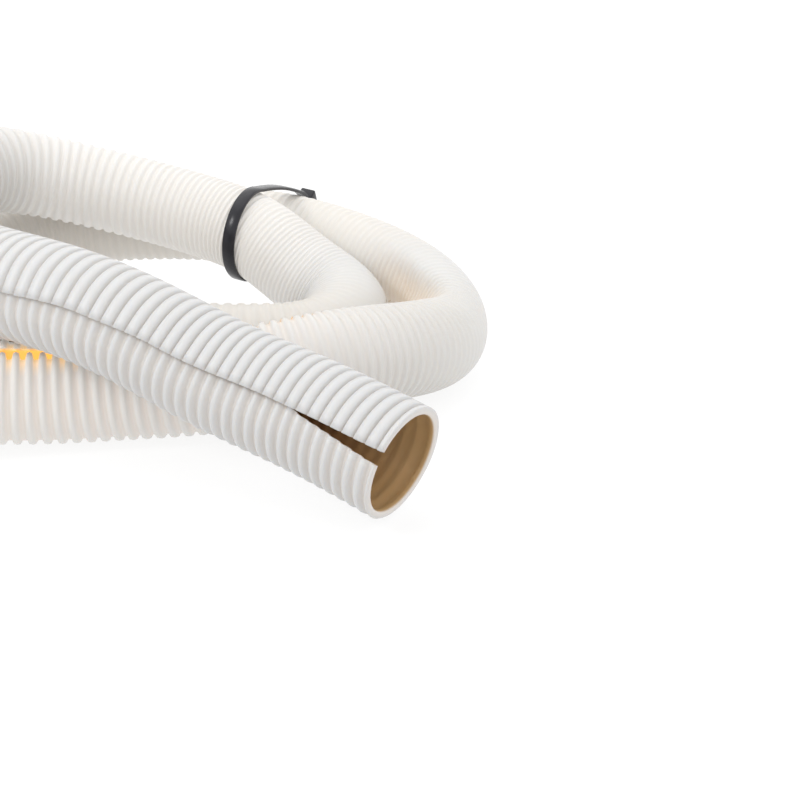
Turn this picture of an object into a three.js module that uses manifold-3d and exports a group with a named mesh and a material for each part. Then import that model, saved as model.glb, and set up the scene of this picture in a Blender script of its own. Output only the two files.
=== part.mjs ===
// Split wire loom: one corrugated tube with a slit along its whole length, lying in a loose coil,
// and the cable tie that holds two of its runs together.
// Millimetres, +Z up, the coil's lowest ridge on z = 0, the open front end towards +X and -Y.
import * as THREE from "three";
import Module from "manifold-3d";

const wasm = await Module();
wasm.setup();

// Tube
const CREST_R = 16; // outside radius over the ridges, 32 mm outside diameter
const RIDGE_HEIGHT = 1.5;
const WALL = 1.6; // from the grooves to the corners of the bore's facets
const GROOVE_R = CREST_R - RIDGE_HEIGHT;
const BORE_R = GROOVE_R - WALL;
const CUT_EDGE = 0.3; // how far the ridge is rounded down at the cut ends
const PITCH = 4; // one ridge and one groove
const CREST_PART = 0.62; // share of the pitch that is ridge on the front run
const FINE_LENGTH = 132; // front run drawn ridge by ridge; beyond it every second ridge is drawn
const FINE_SIDES = 14;
const SIDES = 10;
const BORE_SIDES = 8;
const BORE_STEP = 9;

// Slit
const SLIT = 0.5; // gap between the closed lips
const GAPE = 3.6; // gap at the open front end
const GAPE_LENGTH = 30; // length over which the lips spread

// Cable tie
const TIE_GAP = 0.95; // between the ridges and the strap
const STRAP_THICK = 1.3;
const STRAP_WIDTH = 4.8;
const HEAD = [8.4, 6.4, 4.8]; // along the strap, across it, standing out from it
const HEAD_ANGLE = 44; // how far the head sits round the far run from its top, degrees
const HEAD_SEAT = 0.35; // between the strap's inner face and the head's
const TAIL = 4; // stub left where the strap was cut
const TAIL_ROOT = 0.8; // how far the stub reaches into the head
const TAIL_BELOW = 0.95; // from the head's outer face to the middle of the stub
const SLOT_EDGE = 1.4; // rim left round the recess in the head's outer face
const SLOT_DEPTH = 0.6;
const TIE_SEGMENTS = 12; // facets in each half turn
const TIE_AT = [12.9, 28.1]; // places on the route that the tie goes round
const TIE_TILT = -5.3; // degrees

// The tube's centre line from the front end to the other end, hand-laid, as the corner points of a
// smooth curve. Each row is a part of the coil.
const ROUTE = [
  [80, -99, 18.2], [56, -83, 25.2], [30, -71, 31.2], [5, -60, 42.2], [-21, -50, 49.2],
  [-47, -38, 51.2], [-70, -22, 56.2], [-84, 4, 64.2], [-86, 32, 70.2], [-75, 56, 70.2],
  [-52, 70, 62.2], [-24, 71, 55.2], [2, 65, 49.2], [24, 56, 44.2], [41, 46, 31.2],
  [58, 36, 23.2], [61, 18, 19.2], [51, 1, 15.9], [27, -5, 17], [-4, -6, 18],
  [-38, -2, 17], [-68, 9, 18], [-90, 27, 22.2], [-98, 50, 29.2], [-89, 74, 35.2],
  [-66, 91, 39.2], [-36, 99, 40.2], [-2, 99, 40.2], [30, 92, 38.2], [58, 78, 33.2],
  [81, 60, 27.2], [94, 38, 21.2], [96, 15, 16.2], [88, -6, 18.2], [71, -23, 22.2],
  [49, -34, 22.2], [24, -38, 17.2], [-4, -39, 16.2], [-32, -44, 16.2], [-60, -53, 21.2],
];

const FOOT = [-0.06, 1.21, 0.49]; // middle of the coil's footprint, and its lowest point, on the route

// The slit's angle round the tube, degrees from straight up, at some places on the route.
const SLIT_ANGLES = [
  [0, -62], [1.2, -59.5], [2.5, -64], [3.3, -68.6], [4.2, -75], [7, -72], [22, -70],
  [25, -135], [28, -220], [30, -240], [32, -265], [33.4, -300], [35.2, -343], [38, -379], [39, -382],
];

const blend = (t) => t * t * (3 - 2 * t);

// Point on the centre line; place runs from 0 at the first route point to ROUTE.length - 1.
function linePoint(place) {
  const last = ROUTE.length - 1;
  const i = Math.min(Math.floor(place), last - 1);
  const t = place - i;
  const corner = (k) => {
    if (k < 0) return ROUTE[0].map((v, a) => 2 * v - ROUTE[1][a]);
    if (k > last) return ROUTE[last].map((v, a) => 2 * v - ROUTE[last - 1][a]);
    return ROUTE[k];
  };
  const weights = [
    (1 - t) ** 3, 3 * t ** 3 - 6 * t * t + 4, -3 * t ** 3 + 3 * t * t + 3 * t + 1, t ** 3,
  ];
  const out = new THREE.Vector3(...FOOT).negate();
  weights.forEach((w, k) => out.addScaledVector(new THREE.Vector3(...corner(i - 1 + k)), w / 6));
  return out;
}

// Length along the line at each of many places, to turn a length into a place.
const STEPS = 24;
const lengths = [0];
for (let i = 1, was = linePoint(0); i <= (ROUTE.length - 1) * STEPS; i++) {
  const now = linePoint(i / STEPS);
  lengths.push(lengths[i - 1] + now.distanceTo(was));
  was = now;
}
const LENGTH = lengths.at(-1);
function placeAt(s) {
  let i = 1;
  while (i < lengths.length - 1 && lengths[i] < s) i++;
  return (i - 1 + (s - lengths[i - 1]) / (lengths[i] - lengths[i - 1])) / STEPS;
}

// Centre, direction, the upward direction square to it, and the sideways one, at a place.
function frameAt(place) {
  const last = ROUTE.length - 1;
  const ahead = linePoint(Math.min(place + 0.02, last));
  const along = ahead.sub(linePoint(Math.max(place - 0.02, 0))).normalize();
  const up = new THREE.Vector3(0, 0, 1).addScaledVector(along, -along.z).normalize();
  return { at: linePoint(place), along, up, side: along.clone().cross(up) };
}

function slitAngle(place) {
  let k = 1;
  while (k < SLIT_ANGLES.length - 1 && SLIT_ANGLES[k][0] < place) k++;
  const [p0, a0] = SLIT_ANGLES[k - 1];
  const [p1, a1] = SLIT_ANGLES[k];
  return THREE.MathUtils.degToRad(a0 + (a1 - a0) * blend((place - p0) / (p1 - p0)));
}

function slitGap(s) {
  return SLIT + (GAPE - SLIT) * Math.max(0, 1 - s / GAPE_LENGTH);
}

// One open ring of points round the tube, from one lip of the slit to the other.
function ring(s, radius, sides) {
  const place = placeAt(s);
  const f = frameAt(place);
  const half = Math.asin(slitGap(s) / 2 / radius);
  const points = [];
  for (let k = 0; k <= sides; k++) {
    const a = slitAngle(place) + half + ((2 * Math.PI - 2 * half) * k) / sides;
    points.push(
      f.at.clone().addScaledVector(f.up, radius * Math.cos(a)).addScaledVector(f.side, radius * Math.sin(a)),
    );
  }
  return { s, points };
}

// Collects triangles; strip joins two rows of points that run the same way, whatever their counts.
function skin() {
  const flat = [];
  const tri = (a, b, c) => flat.push(...a.toArray(), ...b.toArray(), ...c.toArray());
  function strip(a, b, turn, key) {
    const share = key || ((row, i) => i / (row.length - 1));
    let i = 0;
    let j = 0;
    while (i < a.length - 1 || j < b.length - 1) {
      const stepA = j === b.length - 1 || (i < a.length - 1 && share(a, i + 1) <= share(b, j + 1) + 1e-9);
      const [p, q, r] = stepA ? [a[i], a[i + 1], b[j]] : [a[i], b[j + 1], b[j]];
      if (turn) tri(p, q, r);
      else tri(p, r, q);
      if (stepA) i++;
      else j++;
    }
  }
  const geometry = () =>
    new THREE.BufferGeometry().setAttribute("position", new THREE.Float32BufferAttribute(flat, 3));
  return { strip, geometry };
}

// Tube: ridged outside, plain bore, two slit faces and two flat cut ends.
function loomGeometry() {
  const outer = [ring(0, CREST_R - CUT_EDGE, FINE_SIDES)];
  const crest = PITCH * CREST_PART;
  for (let s = 0; s < FINE_LENGTH; s += PITCH) {
    const start = s + (PITCH - crest);
    if (s > 0) outer.push(ring(s + (PITCH - crest) / 2, GROOVE_R, FINE_SIDES));
    outer.push(ring(start + 0.2, CREST_R, FINE_SIDES), ring(start + crest - 0.2, CREST_R, FINE_SIDES));
  }
  const ridges = Math.floor((LENGTH - FINE_LENGTH - PITCH) / (2 * PITCH));
  const step = (LENGTH - FINE_LENGTH - PITCH / 2) / ridges;
  for (let k = 0; k < ridges; k++) {
    const s = FINE_LENGTH + PITCH / 2 + step * k;
    outer.push(ring(s, GROOVE_R, SIDES), ring(s + step / 2, CREST_R, SIDES));
  }
  outer.push(ring(LENGTH, CREST_R - CUT_EDGE, SIDES));

  const bore = [];
  const boreSteps = Math.round(LENGTH / BORE_STEP);
  for (let k = 0; k <= boreSteps; k++) bore.push(ring((LENGTH * k) / boreSteps, BORE_R, BORE_SIDES));

  const { strip, geometry } = skin();
  for (let k = 1; k < outer.length; k++) strip(outer[k - 1].points, outer[k].points, true);
  for (let k = 1; k < bore.length; k++) strip(bore[k - 1].points, bore[k].points, false);
  strip(outer[0].points, bore[0].points, false);
  strip(outer.at(-1).points, bore.at(-1).points, true);
  for (const first of [true, false]) {
    const edge = (rings) => rings.map((r) => Object.assign(r.points.at(first ? 0 : -1).clone(), { s: r.s }));
    strip(edge(outer), edge(bore), first, (row, i) => row[i].s);
  }
  return geometry();
}

// three.js geometry and booleans
function solidOf(geometry, matrix) {
  const g = geometry.index ? geometry.toNonIndexed() : geometry.clone();
  if (matrix) g.applyMatrix4(matrix);
  const seen = new Map();
  const corners = [];
  const triVerts = [];
  const p = g.getAttribute("position");
  for (let i = 0; i < p.count; i++) {
    const xyz = [p.getX(i), p.getY(i), p.getZ(i)];
    const name = xyz.map((v) => Math.round(v * 1e5)).join();
    if (!seen.has(name)) {
      seen.set(name, seen.size);
      corners.push(...xyz);
    }
    triVerts.push(seen.get(name));
  }
  return new wasm.Manifold(new wasm.Mesh({
    numProp: 3, vertProperties: new Float32Array(corners), triVerts: new Uint32Array(triVerts),
  }));
}

function geometryOf(solid) {
  const mesh = solid.getMesh();
  return new THREE.BufferGeometry()
    .setAttribute("position", new THREE.BufferAttribute(new Float32Array(mesh.vertProperties), 3))
    .setIndex(new THREE.BufferAttribute(new Uint32Array(mesh.triVerts), 1));
}

// Outline of a band round both runs at one radius: a half turn round each, joined by straight sides.
function band(radius, apart) {
  const r = radius / Math.cos(Math.PI / 2 / TIE_SEGMENTS);
  const points = [];
  for (const [centre, from] of [[0, Math.PI / 2], [apart, -Math.PI / 2]]) {
    for (let k = 0; k <= TIE_SEGMENTS; k++) {
      const a = from + (Math.PI * k) / TIE_SEGMENTS;
      points.push(new THREE.Vector2(centre + r * Math.cos(a), r * Math.sin(a)));
    }
  }
  return points;
}

// Cable tie: a flat strap round both runs, its square head on the far run, and the cut-off stub.
function tieGeometry() {
  const near = frameAt(TIE_AT[0]);
  const far = frameAt(TIE_AT[1]);
  const across = far.at.clone().sub(near.at);
  const apart = across.length();
  across.normalize();
  const mean = near.along.clone().add(far.along);
  mean.addScaledVector(across, -mean.dot(across)).normalize();
  mean.applyAxisAngle(across, THREE.MathUtils.degToRad(TIE_TILT));
  const over = mean.clone().cross(across);
  const place = new THREE.Matrix4().makeBasis(across, over, mean).setPosition(near.at);

  const inner = CREST_R + TIE_GAP;
  const shape = new THREE.Shape(band(inner + STRAP_THICK, apart));
  shape.holes.push(new THREE.Path(band(inner, apart)));
  const strap = new THREE.ExtrudeGeometry(shape, { depth: STRAP_WIDTH, bevelEnabled: false, steps: 1 });
  strap.translate(0, 0, -STRAP_WIDTH / 2);

  const turn = THREE.MathUtils.degToRad(-HEAD_ANGLE);
  const onFar = new THREE.Matrix4().makeTranslation(apart, 0, 0)
    .multiply(new THREE.Matrix4().makeRotationZ(turn));
  const box = (x, y, z, dx, dy) =>
    solidOf(new THREE.BoxGeometry(x, y, z).translate(dx, dy, 0).applyMatrix4(onFar));
  const [headLength, headWidth, headHeight] = HEAD;
  const top = inner + HEAD_SEAT + headHeight;
  const head = box(headLength, headHeight, headWidth, 0, top - headHeight / 2);
  const stubLength = TAIL + TAIL_ROOT;
  const stubMiddle = headLength / 2 - TAIL_ROOT + stubLength / 2;
  const stub = box(stubLength, STRAP_THICK, STRAP_WIDTH, stubMiddle, top - TAIL_BELOW);
  const slot = box(headLength - 2 * SLOT_EDGE, 2 * SLOT_DEPTH, headWidth - 2 * SLOT_EDGE, 0, top);
  return geometryOf(solidOf(strap).add(head).subtract(slot).add(stub)).applyMatrix4(place);
}

function mesh(name, geometry, settings) {
  const made = new THREE.Mesh(geometry, new THREE.MeshStandardMaterial(settings));
  made.name = name;
  return made;
}

const part = new THREE.Group();
part.name = "split_wire_loom";
part.add(mesh("split_loom", loomGeometry(), { color: 0xeceae4, roughness: 0.5 }));
part.add(mesh("cable_tie", tieGeometry(), { color: 0x1b1b1f, roughness: 0.4 }));

export default part;
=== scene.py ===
import math

import bmesh
import bpy
from mathutils import Matrix, Vector


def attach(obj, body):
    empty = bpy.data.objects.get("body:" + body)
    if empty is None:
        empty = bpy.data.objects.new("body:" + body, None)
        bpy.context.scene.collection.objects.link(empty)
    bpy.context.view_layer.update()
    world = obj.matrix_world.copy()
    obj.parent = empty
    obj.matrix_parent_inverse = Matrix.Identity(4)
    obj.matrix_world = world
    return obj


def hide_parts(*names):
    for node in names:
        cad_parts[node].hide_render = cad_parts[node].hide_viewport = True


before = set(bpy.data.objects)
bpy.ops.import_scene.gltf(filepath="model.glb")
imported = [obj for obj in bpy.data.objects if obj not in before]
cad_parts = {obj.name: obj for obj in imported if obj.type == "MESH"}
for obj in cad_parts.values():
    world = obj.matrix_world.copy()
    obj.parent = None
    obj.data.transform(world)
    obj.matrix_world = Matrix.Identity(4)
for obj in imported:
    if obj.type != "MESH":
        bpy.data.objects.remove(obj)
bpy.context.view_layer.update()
scene = bpy.context.scene


# Split loom: one corrugated tube of thin white polyethylene with a slit from end to end.
# It is formed against ribbed moulds as it leaves the die, slit by a knife, and cut to length;
# here it lies in a loose coil, its lips spread at the open front end.

RIDGE_RADIUS = 0.016
GROOVE_RADIUS = 0.0144
RIDGE_HEIGHT = RIDGE_RADIUS - GROOVE_RADIUS
WALL = 0.0009
SIDES_ROUND = 44
LOOM_ROUTE = [
    (0.080, -0.099, 0.0182), (0.056, -0.083, 0.0252), (0.030, -0.071, 0.0312),
    (0.005, -0.060, 0.0422), (-0.021, -0.050, 0.0492), (-0.047, -0.038, 0.0512),
    (-0.070, -0.022, 0.0562), (-0.084, 0.004, 0.0642), (-0.086, 0.032, 0.0702),
    (-0.075, 0.056, 0.0702), (-0.052, 0.070, 0.0622), (-0.024, 0.071, 0.0552),
    (0.002, 0.065, 0.0492), (0.024, 0.056, 0.0442), (0.041, 0.046, 0.0312),
    (0.058, 0.036, 0.0232), (0.061, 0.018, 0.0192), (0.051, 0.001, 0.0159),
    (0.027, -0.005, 0.017), (-0.004, -0.006, 0.018), (-0.038, -0.002, 0.017),
    (-0.068, 0.009, 0.018), (-0.090, 0.027, 0.0222), (-0.098, 0.050, 0.0292),
    (-0.089, 0.074, 0.0352), (-0.066, 0.091, 0.0392), (-0.036, 0.099, 0.0402),
    (-0.002, 0.099, 0.0402), (0.030, 0.092, 0.0382), (0.058, 0.078, 0.0332),
    (0.081, 0.060, 0.0272), (0.094, 0.038, 0.0212), (0.096, 0.015, 0.0162),
    (0.088, -0.006, 0.0182), (0.071, -0.023, 0.0222), (0.049, -0.034, 0.0222),
    (0.024, -0.038, 0.0172), (-0.004, -0.039, 0.0162), (-0.032, -0.044, 0.0162),
    (-0.060, -0.053, 0.0212),
]
COIL_FOOT = Vector((-0.00006, 0.00121, 0.00049))

# At places on the route: the slit's angle in degrees, how deep the grooves are, how strong the
# painted glow is that stands in for light coming through the thin plastic, and how much painted
# warm shade the plastic gets (warmer and a little darker). Then, at lengths from the front end,
# the length of one ridge with its groove.
SLIT_ANGLES = [
    (0, -62), (1.2, -59.5), (2.5, -64), (3.3, -68.6), (4.2, -75), (7, -72), (22, -70),
    (25, -135), (28, -220), (30, -240), (32, -265), (33.4, -300), (35.2, -343), (38, -379),
    (39, -382),
]
GROOVE_DEPTHS = [
    (0, 0.85), (5, 0.85), (9, 0.5), (12.6, 0.4), (13.4, 0.24), (14.4, 0.2), (15, 0.06),
    (16.5, 0.05), (17.5, 0.3), (20, 0.6), (25, 0.5), (27, 0.3), (29.4, 0.2), (30.3, 0.08),
    (32.3, 0.1), (33.2, 0.35), (34.2, 0.5), (36, 0.75), (37.5, 0.85), (39, 0.85),
]
PAINTED_GLOW_TABLE = [
    (0, 0), (4, 0.05), (8.5, 0.15), (10, 0.6), (12.9, 0.7), (14, 0.55), (15, 0.2), (18, 0.15),
    (24, 0.1), (27, 0.4), (29, 0.55), (30.5, 0.25), (32.5, 0.2), (33.5, 0.15), (35, 0.3),
    (39, 0.5),
]
WARM_SHADE_TABLE = [
    (0, 0), (5, 0.05), (9, 0.2), (13, 0.35), (15, 0.2), (17, 0.6), (22, 0.5), (26, 0.7),
    (29, 0.55), (31, 0.2), (33, 0.35), (36, 0.3), (39, 0.3),
]
RIDGE_PITCHES = [
    (0, 0.0036), (0.03, 0.0037), (0.13, 0.0039), (0.262, 0.0044), (0.3, 0.0042), (0.325, 0.0032),
    (0.352, 0.0021), (0.38, 0.002), (0.42, 0.0026), (0.47, 0.0046), (0.7, 0.0044),
    (0.76, 0.0036), (0.8, 0.0031), (0.84, 0.0027), (0.88, 0.0025), (0.92, 0.0026),
    (0.955, 0.0036), (0.985, 0.0042), (1.05, 0.0041),
]
LAST = len(LOOM_ROUTE) - 1
LINE_STEPS = 24


def ease(t):
    """Nought to one, slow at both ends."""
    t = min(max(t, 0.0), 1.0)
    return t * t * (3 - 2 * t)


def line_point(place):
    """A point on the coil's centre line; place counts route points from the front end."""
    i = min(int(place), LAST - 1)
    t = place - i
    corners = [Vector(p) for p in LOOM_ROUTE]
    corners = [2 * corners[0] - corners[1], *corners, 2 * corners[-1] - corners[-2]]
    weights = ((1 - t) ** 3, 3 * t**3 - 6 * t * t + 4, -3 * t**3 + 3 * t * t + 3 * t + 1, t**3)
    return sum((c * (w / 6) for c, w in zip(corners[i:i + 4], weights)), Vector()) - COIL_FOOT


LINE = [line_point(i / LINE_STEPS) for i in range(LAST * LINE_STEPS + 1)]
LINE_LENGTHS = [0.0]
for a, b in zip(LINE, LINE[1:]):
    LINE_LENGTHS.append(LINE_LENGTHS[-1] + (b - a).length)
LOOM_LENGTH = LINE_LENGTHS[-1]


def place_at(s):
    """The place on the route that lies the length s from the front end."""
    low, high = 0, len(LINE_LENGTHS) - 1
    while high - low > 1:
        middle = (low + high) // 2
        low, high = (middle, high) if LINE_LENGTHS[middle] <= s else (low, middle)
    share = (s - LINE_LENGTHS[low]) / (LINE_LENGTHS[high] - LINE_LENGTHS[low])
    return (low + share) / LINE_STEPS


def axes_at(place):
    """Centre, direction, and the up and side directions square to it."""
    along = line_point(min(place + 0.02, LAST)) - line_point(max(place - 0.02, 0))
    along.normalize()
    up = (Vector((0, 0, 1)) - along * along.z).normalized()
    return line_point(place), along, up, along.cross(up)


def bend_at(place):
    """Which way and how sharply the line bends, as a vector of length one over the radius."""
    step = 0.25
    mid = min(max(place, step), LAST - step)
    a, b, c = line_point(mid - step), line_point(mid), line_point(mid + step)
    first, second = b - a, c - b
    return (second.normalized() - first.normalized()) / ((first.length + second.length) / 2)


def eased(table, at):
    """A value read from a table of pairs, passing softly from one to the next."""
    k = 1
    while k < len(table) - 1 and table[k][0] < at:
        k += 1
    (p0, a0), (p1, a1) = table[k - 1], table[k]
    return a0 + (a1 - a0) * ease((at - p0) / (p1 - p0))


CLOSED_GAP = 0.0003
MOUTH_GAP = 0.0034
MOUTH_LENGTH = 0.03
HOLE_WIDTH = 0.0028


def slit_gap(s, place, groove):
    """Width of the slit: a wedge at the front end, and on the rear run a row of small holes,
    where the ridges' ends nearly meet and the grooves between them stand open."""
    front = MOUTH_GAP * max(0.0, 1 - s / MOUTH_LENGTH)
    rear = ease((place - 34.65) / 0.4)
    far = ease((place - 36.8) / 1.4)
    holes = rear * (0.0005 + HOLE_WIDTH * groove) + far * (0.0009 + 0.0006 * groove)
    return CLOSED_GAP + front + holes


# The tube is first made straight along X: its wall's long section, spun round X from one lip of
# the slit to the other. Both cut ends are rolled inwards to a thick rounded rim.
# A ridge's points are shares of the way to the next ridge, and their heights. The flat shift is
# how much further out a point lies where the ridges are flat on top.
RIDGE_SHAPE = ((-0.35, 0.0), (-0.2, 0.85), (0.0, 1.0), (0.2, 0.85), (0.35, 0.0))
FLAT_SHIFT = {0.35: 0.08, 0.2: 0.17, 0.0: 0.0}
RIM_OUTSIDE = ((0.0, 0.0152), (0.00012, 0.01562), (0.0005, 0.0159))
RIM_INSIDE = ((0.0, 0.0143), (0.00015, 0.0139), (0.0007, 0.01372))
RIM_LENGTH = 0.0006
SPUN_ANGLE = math.tau * 0.998
crests = [0.0]
while crests[-1] < LOOM_LENGTH:
    crests.append(crests[-1] + eased(RIDGE_PITCHES, crests[-1]))
crests = [c * LOOM_LENGTH / crests[-1] for c in crests]

loom_bm = bmesh.new()
flat_shift = loom_bm.verts.layers.float.new("flat_shift")
inside = loom_bm.verts.layers.float.new("inside")
hollow = loom_bm.verts.layers.float.new("hollow")
warm_shade = loom_bm.verts.layers.float.new("warm_shade")
lit = loom_bm.verts.layers.float.new("lit")
painted_glow_amount = loom_bm.verts.layers.float.new("painted_glow_amount")


def wall_point(s, radius, shift=0.0, within=0.0):
    """One point of the wall's long section; within is one on the tube's inner side."""
    v = loom_bm.verts.new((s, radius, 0))
    v[flat_shift] = shift
    v[inside] = within
    return v


outer_row = [wall_point(s, radius) for s, radius in RIM_OUTSIDE]
inner_row = [wall_point(s, radius, 0, s > RIM_LENGTH) for s, radius in RIM_INSIDE]
tops, unders = [outer_row[0]], [inner_row[0]]
for before, crest, after in zip([0.0] + crests, crests, crests[1:] + [LOOM_LENGTH]):
    for share, rise in RIDGE_SHAPE:
        reach = crest - before if share < 0 else after - crest
        s = crest + share * reach
        if RIM_LENGTH < s < LOOM_LENGTH - RIM_LENGTH:
            shift = math.copysign(FLAT_SHIFT[abs(share)], share) * reach
            outer_row.append(wall_point(s, GROOVE_RADIUS + RIDGE_HEIGHT * rise, shift))
            if not share:
                tops.append(outer_row[-1])
    if 0 < crest < LOOM_LENGTH:
        inner_row.append(wall_point(crest, RIDGE_RADIUS - WALL, 0, 1))
        unders.append(inner_row[-1])
    if crest < LOOM_LENGTH:
        inner_row.append(wall_point((crest + after) / 2, GROOVE_RADIUS - WALL, 0, 1))
outer_row += [wall_point(LOOM_LENGTH - s, radius) for s, radius in RIM_OUTSIDE[::-1]]
inner_row += [
    wall_point(LOOM_LENGTH - s, radius, 0, s > RIM_LENGTH) for s, radius in RIM_INSIDE[::-1]
]
tops.append(outer_row[-1])
unders.append(inner_row[-1])
for top, next_top, under, next_under in zip(tops, tops[1:], unders, unders[1:]):
    outside = outer_row[outer_row.index(top):outer_row.index(next_top) + 1]
    lining = inner_row[inner_row.index(under):inner_row.index(next_under) + 1]
    loom_bm.faces.new(outside + lining[::-1])

bmesh.ops.spin(
    loom_bm, geom=loom_bm.verts[:] + loom_bm.edges[:] + loom_bm.faces[:],
    cent=(0, 0, 0), axis=(1, 0, 0), angle=SPUN_ANGLE, steps=SIDES_ROUND,
    use_duplicate=False,
)

# Then each point moves to its place on the coil. The line is sampled every half millimetre.
STATION = 0.0005
LIP_RISE = 0.0004
LIP_TUCK = 0.0012
LIP_LAP = 0.0016
PRESSED_IN = 0.0055
stations = []
for k in range(round(LOOM_LENGTH / STATION) + 1):
    place = place_at(min(k * STATION, LOOM_LENGTH))
    stations.append((
        place, axes_at(place), bend_at(place), math.radians(eased(SLIT_ANGLES, place)),
        eased(GROOVE_DEPTHS, place), eased(PAINTED_GLOW_TABLE, place), eased(WARM_SHADE_TABLE, place),
    ))
for v in loom_bm.verts:
    radius = math.hypot(v.co.y, v.co.z)
    turn = (math.atan2(v.co.z, v.co.y) % math.tau) / SPUN_ANGLE
    if turn > 1.0005:  # rounding has put the first lip at a whole turn
        turn = 0.0
    # On top of the front run the ridges are wide and flat, elsewhere narrower and rounder.
    flatness = ease((0.55 - turn) / 0.1) * ease((0.2 - v.co.x) / 0.05)
    s = v.co.x + v[flat_shift] * flatness
    nearest = min(round(s / STATION), len(stations) - 1)
    place, (centre, along, up, side), bend, slit, deep, painted_glow, warm_shade_level = stations[nearest]
    centre = centre + along * (s - nearest * STATION)
    top = RIDGE_RADIUS - WALL * v[inside]
    groove = min(max((top - radius) / RIDGE_HEIGHT, 0.0), 1.0)
    if groove < 0.3:
        radius = top - (top - radius) * (1 - 0.8 * flatness)
    half = slit_gap(s, place, groove) / 2 / radius
    angle = slit + half + turn * (math.tau - 2 * half)
    out = up * math.cos(angle) + side * math.sin(angle)
    stretch = 1 - RIDGE_RADIUS * bend.dot(out)
    # Inside the tight bend the grooves are about half as deep, and they open out flat where the
    # outer side of a bend stretches them.
    if 29.4 < place < 33.2:
        deep += (0.5 - deep) * ease((0.95 - stretch) / 0.2)
    if RIM_INSIDE[-1][0] < s < LOOM_LENGTH - RIM_INSIDE[-1][0]:
        deep *= 1 - 0.7 * ease((stretch - 1.12) / 0.22)
        radius = top - (top - radius) * deep
    v[hollow] = (top - radius) / RIDGE_HEIGHT
    # Painted warm shade: at these places the colour turns warmer and darker, standing in for light
    # passing through and bouncing between the runs.
    v[warm_shade] = warm_shade_level
    # Painted glow: emission standing in for light coming through the thin plastic, stronger in the
    # grooves, where it lightens their shade.
    v[painted_glow_amount] = painted_glow + 0.35 * v[hollow]
    # On the rear run an amber emission paints the light coming through the tube: its inner side
    # glows, and outside a little of each groove along the slit.
    lip = ease(1 - min(turn, 1 - turn) / 0.07)
    rear = ease((place - 34.3) / 0.5) * (1 - 0.85 * ease((place - 38.2) / 0.5))
    outer_glow = (0.12 + 0.5 * ease((place - 36) / 1.0)) * lip * groove
    v[lit] = rear * (v[inside] or outer_glow)
    # Behind the spread mouth the lower lip is tucked under the upper one.
    lapped = ease((s - 0.024) / 0.014) * ease((7 - place) / 1.5)
    upper_lip, lower_lip = ease(1 - turn / 0.04), ease(1 - (1 - turn) / 0.08)
    radius += lapped * (LIP_RISE * upper_lip - LIP_TUCK * lower_lip)
    angle += lapped * lower_lip * LIP_LAP / radius
    out = up * math.cos(angle) + side * math.sin(angle)
    # In its tightest bend the tube is pressed flat along the inner side.
    if 29.5 < place < 33.3 and bend.length:
        pressed = ease((place - 29.5) / 1.4) * ease((33.3 - place) / 1.2)
        inner_side = ease((out.dot(bend.normalized()) - 0.35) / 0.6)
        radius -= PRESSED_IN * pressed * inner_side
        # There the pressed inner side gets a weak painted amber glow instead, standing in for warm
        # light in the crevice.
        v[lit] = 0.22 * pressed * inner_side
    v.co = centre + out * radius
    v.co.z = max(v.co.z, 0.0)

# The faces have to look out of the plastic. On a ring as thin as this one the recalculation can
# turn them all inwards, which the volume's sign shows.
bmesh.ops.recalc_face_normals(loom_bm, faces=loom_bm.faces[:])
if loom_bm.calc_volume(signed=True) < 0:
    bmesh.ops.reverse_faces(loom_bm, faces=loom_bm.faces[:])
for f in loom_bm.faces:
    f.smooth = len(f.verts) == 4
loom_mesh = bpy.data.meshes.new("split_loom_tube")
loom_bm.to_mesh(loom_mesh)
loom_bm.free()
loom = bpy.data.objects.new("split_loom_tube", loom_mesh)
scene.collection.objects.link(loom)


def new_material(name):
    """A material with its shader, and a short way to add and join nodes."""
    material = bpy.data.materials.new(name)
    material.use_nodes = True
    tree = material.node_tree
    shader = tree.nodes["Principled BSDF"]

    def node(kind, inputs=(), **settings):
        made = tree.nodes.new(kind)
        for key, value in settings.items():
            setattr(made, key, value)
        for key, value in dict(inputs).items():
            if isinstance(value, bpy.types.NodeSocket):
                tree.links.new(value, made.inputs[key])
            else:
                made.inputs[key].default_value = value
        return made

    return material, tree, shader, node


def mix_colours(node, factor, first, second):
    """The first colour passing into the second as the factor goes from nought to one."""
    made = node("ShaderNodeMix", data_type="RGBA")
    tree = made.id_data
    for index, value in ((0, factor), (6, first), (7, second)):
        socket = made.inputs[index]
        if isinstance(value, bpy.types.NodeSocket):
            tree.links.new(value, socket)
        else:
            socket.default_value = value
    return made.outputs[2]


# The plastic is whitest on the ridges. Painted shade makes the grooves darker and warmer, painted
# warm shade tints some places, painted amber shade colours the inside, and a little random
# cloudiness
# varies the tone. Emission paints light: a pale glow outside, strongest in the grooves, and an
# amber glow where light shows through on the rear run and in the tight bend.
loom_plastic, tree, shader, node = new_material("white_polyethylene")
groove_share = node("ShaderNodeAttribute", attribute_name="hollow").outputs["Fac"]
inner_share = node("ShaderNodeAttribute", attribute_name="inside").outputs["Fac"]
where = node("ShaderNodeTexCoord").outputs["Object"]
cloud = node("ShaderNodeTexNoise", {"Vector": where, "Scale": 40.0, "Detail": 3.0}).outputs["Fac"]
grain = node("ShaderNodeTexNoise", {"Vector": where, "Scale": 900.0, "Detail": 2.0}).outputs["Fac"]
warm_shade_share = node("ShaderNodeAttribute", attribute_name="warm_shade").outputs["Fac"]
light_share = node("ShaderNodeAttribute", attribute_name="lit").outputs["Fac"]
painted_glow_share = node("ShaderNodeAttribute", attribute_name="painted_glow_amount").outputs["Fac"]
# Painted shade: the grooves are darker and warmer than the ridges.
skin = mix_colours(node, groove_share, (0.54, 0.543, 0.546, 1), (0.51, 0.475, 0.445, 1))
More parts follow.
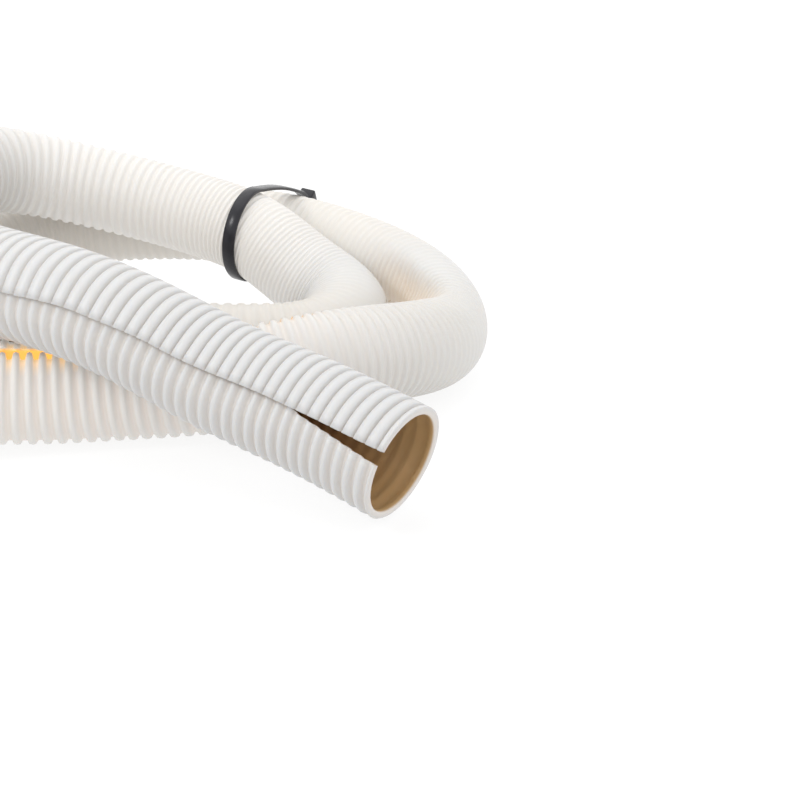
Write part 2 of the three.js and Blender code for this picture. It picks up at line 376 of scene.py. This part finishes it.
# Painted warm shade at some places along the route.
skin = mix_colours(node, warm_shade_share, skin, (0.53, 0.49, 0.43, 1))
cloudy = node("ShaderNodeMath", {0: cloud, 1: 0.15}, operation="MULTIPLY").outputs[0]
skin = mix_colours(node, cloudy, skin, (0.51, 0.50, 0.48, 1))
# The inside is painted amber and darker: painted shade with the warm light that comes through the
# wall.
skin = mix_colours(node, inner_share, skin, (0.50, 0.33, 0.16, 1))
# Painted glow: a pale emission on the outside, standing in for light coming through the plastic;
# none on the inside.
painted_glow = mix_colours(node, painted_glow_share, (0, 0, 0, 1), (0.27, 0.258, 0.24, 1))
painted_glow = mix_colours(node, inner_share, painted_glow, (0, 0, 0, 1))
# Painted amber glow: emission where lit is set, on the rear run and in the tight bend.
painted_glow = mix_colours(node, light_share, painted_glow, (0.76, 0.42, 0.09, 1))
tree.links.new(skin, shader.inputs["Base Color"])
tree.links.new(painted_glow, shader.inputs["Emission Color"])
shader.inputs["Emission Strength"].default_value = 1.0
shader.inputs["Roughness"].default_value = 0.42
shader.inputs["Specular IOR Level"].default_value = 0.35
shader.inputs["Subsurface Weight"].default_value = 0.2
shader.inputs["Subsurface Radius"].default_value = (0.004, 0.003, 0.002)
shader.inputs["Subsurface Scale"].default_value = 0.4
bump = node("ShaderNodeBump", {"Height": grain, "Strength": 0.06, "Distance": 0.0002})
tree.links.new(bump.outputs[0], shader.inputs["Normal"])
loom_mesh.materials.append(loom_plastic)

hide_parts("split_loom")
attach(loom, "root")


# Cable tie: one moulding of black nylon, a flat strap with a square head at one end.
# The strap goes round both runs, back through the head, is pulled tight and cut off short.

STRAP_THICKNESS = 0.0013
STRAP_WIDTH = 0.0048
STRAP_CLEARANCE = 0.00095
TIE_PLACES = (12.9, 28.1)
TIE_TILT = math.radians(-5.3)
HEAD_ANGLE = math.radians(44)
HEAD_SIZE = (0.0084, 0.0048, 0.0064)
HEAD_SEAT = 0.00035
HEAD_ROUNDING = 0.0006
RECESS_RIM = 0.0009
RECESS_DEPTH = 0.0007
STUB_LENGTH = 0.006
STUB_ROUNDING = 0.00025
SLACK = 0.0011
STRAP_SECTION = (
    (0, -0.9), (0.25, -1), (0.8, -1), (1, -0.8), (1, 0.8), (0.8, 1), (0.25, 1), (0, 0.9),
)

near, near_along = axes_at(TIE_PLACES[0])[:2]
far, far_along = axes_at(TIE_PLACES[1])[:2]
across = far - near
apart = across.length
across.normalize()
lengthwise = near_along + far_along
lengthwise = (lengthwise - across * lengthwise.dot(across)).normalized()
lengthwise.rotate(Matrix.Rotation(TIE_TILT, 3, across))
over = lengthwise.cross(across)
tie_place = Matrix((across, over, lengthwise)).transposed().to_4x4()
tie_place.translation = near
strap_inner = RIDGE_RADIUS + STRAP_CLEARANCE

strap_bm = bmesh.new()
section = [
    strap_bm.verts.new((apart, strap_inner + dy * STRAP_THICKNESS, dz * STRAP_WIDTH / 2))
    for dy, dz in STRAP_SECTION
]
ring = section + [strap_bm.edges.new((a, b)) for a, b in zip(section, section[1:] + section[:1])]
for centre_x in (apart, 0):
    ring = bmesh.ops.spin(strap_bm, geom=ring, cent=(centre_x, 0, 0), axis=(0, 0, -1),
                          angle=math.pi, steps=30)["geom_last"]
    ring = bmesh.ops.extrude_edge_only(
        strap_bm, edges=[g for g in ring if isinstance(g, bmesh.types.BMEdge)])["geom"]
    moved = [g for g in ring if isinstance(g, bmesh.types.BMVert)]
    ring = moved + [g for g in ring if isinstance(g, bmesh.types.BMEdge)
                    and all(v in moved for v in g.verts)]
    bmesh.ops.translate(strap_bm, verts=moved, vec=(-apart if centre_x else apart, 0, 0))
bmesh.ops.remove_doubles(strap_bm, verts=strap_bm.verts[:], dist=1e-6)

# The upper straight stretch is a little slack, and bows outwards.
straight = [e for e in strap_bm.edges if e.calc_length() > 0.9 * apart]
bmesh.ops.subdivide_edges(strap_bm, edges=straight, cuts=8, use_grid_fill=True)
for v in strap_bm.verts:
    if 0 < v.co.x < apart and v.co.y > 0:
        v.co.y += SLACK * math.sin(math.pi * v.co.x / apart)
bmesh.ops.recalc_face_normals(strap_bm, faces=strap_bm.faces[:])

# Head: a rounded block on the far run, with a shallow recess in its outer face, and the strap's
# cut-off stub beside it.
head_turn = Matrix.Translation((apart, 0, 0)) @ Matrix.Rotation(-HEAD_ANGLE, 4, "Z")
head_bm = bmesh.new()
head_centre = strap_inner + HEAD_SEAT + HEAD_SIZE[1] / 2
made = bmesh.ops.create_cube(head_bm, size=1.0)["verts"]
bmesh.ops.scale(head_bm, vec=HEAD_SIZE, verts=made)
bmesh.ops.bevel(head_bm, geom=head_bm.edges[:], offset=HEAD_ROUNDING, segments=3,
                profile=0.5, affect="EDGES", material=-1)
outer_face = max(head_bm.faces, key=lambda f: f.calc_center_median().y)
bmesh.ops.inset_individual(head_bm, faces=[outer_face], thickness=RECESS_RIM,
                           depth=-RECESS_DEPTH)
bmesh.ops.translate(head_bm, vec=(0, head_centre, 0), verts=head_bm.verts[:])
made = bmesh.ops.create_cube(head_bm, size=1.0)["verts"]
bmesh.ops.scale(head_bm, vec=(STUB_LENGTH, STRAP_THICKNESS, STRAP_WIDTH), verts=made)
stub_place = (HEAD_SIZE[0] / 2 + 0.001, strap_inner + HEAD_SIZE[1] - 0.0006, 0)
bmesh.ops.translate(head_bm, vec=stub_place, verts=made)
bmesh.ops.bevel(head_bm, geom=list({e for v in made for e in v.link_edges}),
                offset=STUB_ROUNDING, segments=2, profile=0.5, affect="EDGES", material=-1)
bmesh.ops.transform(head_bm, matrix=head_turn, verts=head_bm.verts[:])
head_mesh = bpy.data.meshes.new("tie_head")
head_bm.to_mesh(head_mesh)
head_bm.free()
strap_bm.from_mesh(head_mesh)
bmesh.ops.transform(strap_bm, matrix=tie_place, verts=strap_bm.verts[:])
for f in strap_bm.faces:
    f.smooth = True
tie_mesh = bpy.data.meshes.new("cable_tie_strap_and_head")
strap_bm.to_mesh(tie_mesh)
strap_bm.free()
tie_mesh.set_sharp_from_angle(angle=math.radians(40))
tie = bpy.data.objects.new("cable_tie_strap_and_head", tie_mesh)
scene.collection.objects.link(tie)

nylon, tree, shader, node = new_material("black_nylon")
where = node("ShaderNodeTexCoord").outputs["Object"]
scuff = node("ShaderNodeTexNoise", {"Vector": where, "Scale": 350.0, "Detail": 4.0}).outputs["Fac"]
tone = mix_colours(node, scuff, (0.010, 0.010, 0.013, 1), (0.022, 0.022, 0.027, 1))
tree.links.new(tone, shader.inputs["Base Color"])
shader.inputs["Roughness"].default_value = 0.24
shader.inputs["Specular IOR Level"].default_value = 0.3
bump = node("ShaderNodeBump", {"Height": scuff, "Strength": 0.1, "Distance": 0.0002})
tree.links.new(bump.outputs[0], shader.inputs["Normal"])
tie_mesh.materials.append(nylon)

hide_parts("cable_tie")
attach(tie, "root")


# Floor, light and camera: a plain pale floor under soft white studio light from all round.

floor_bm = bmesh.new()
bmesh.ops.create_grid(floor_bm, x_segments=1, y_segments=1, size=60.0)
bmesh.ops.translate(floor_bm, vec=(0, 0, -0.0001), verts=floor_bm.verts[:])
floor_mesh = bpy.data.meshes.new("studio_floor")
floor_bm.to_mesh(floor_mesh)
floor_bm.free()
floor = bpy.data.objects.new("studio_floor", floor_mesh)
scene.collection.objects.link(floor)
floor_paint, tree, shader, node = new_material("pale_floor")
shader.inputs["Base Color"].default_value = (0.2, 0.2, 0.2, 1)
shader.inputs["Emission Color"].default_value = (1, 1, 1, 1)
shader.inputs["Emission Strength"].default_value = 0.8
shader.inputs["Roughness"].default_value = 0.9
shader.inputs["Specular IOR Level"].default_value = 0.1
floor_mesh.materials.append(floor_paint)


def softbox(name, place, aim, size, power):
    """A square lamp at a place, turned to face the aim."""
    light = bpy.data.lights.new(name, "AREA")
    light.shape = "SQUARE"
    light.size = size
    light.energy = power
    lamp = bpy.data.objects.new(name, light)
    lamp.location = place
    lamp.rotation_euler = (Vector(aim) - Vector(place)).to_track_quat("-Z", "Y").to_euler()
    scene.collection.objects.link(lamp)


softbox("overhead_softbox", (-0.15, 0.25, 1.3), (0, 0, 0), 1.2, 3)
softbox("front_softbox", (0.9, -1.1, 0.8), (0, 0, 0.03), 1.0, 1)
softbox("small_side_softbox", (-0.45, -0.35, 0.5), (0, 0.05, 0.05), 0.16, 1.2)

world = bpy.data.worlds.new("studio")
world.use_nodes = True
world.node_tree.nodes["Background"].inputs[0].default_value = (1, 1, 1, 1)
world.node_tree.nodes["Background"].inputs[1].default_value = 1.25
scene.world = world
scene.view_settings.view_transform = "Standard"

camera_data = bpy.data.cameras.new("camera")
camera_data.lens = 46.07
camera_data.sensor_width = 36
camera_data.clip_start = 0.01
camera = bpy.data.objects.new("camera", camera_data)
camera.location = (0.07906, -0.33721, 0.12786)
camera.rotation_euler = (math.radians(90 - 21.35), 0, 0)
scene.collection.objects.link(camera)
scene.camera = camera
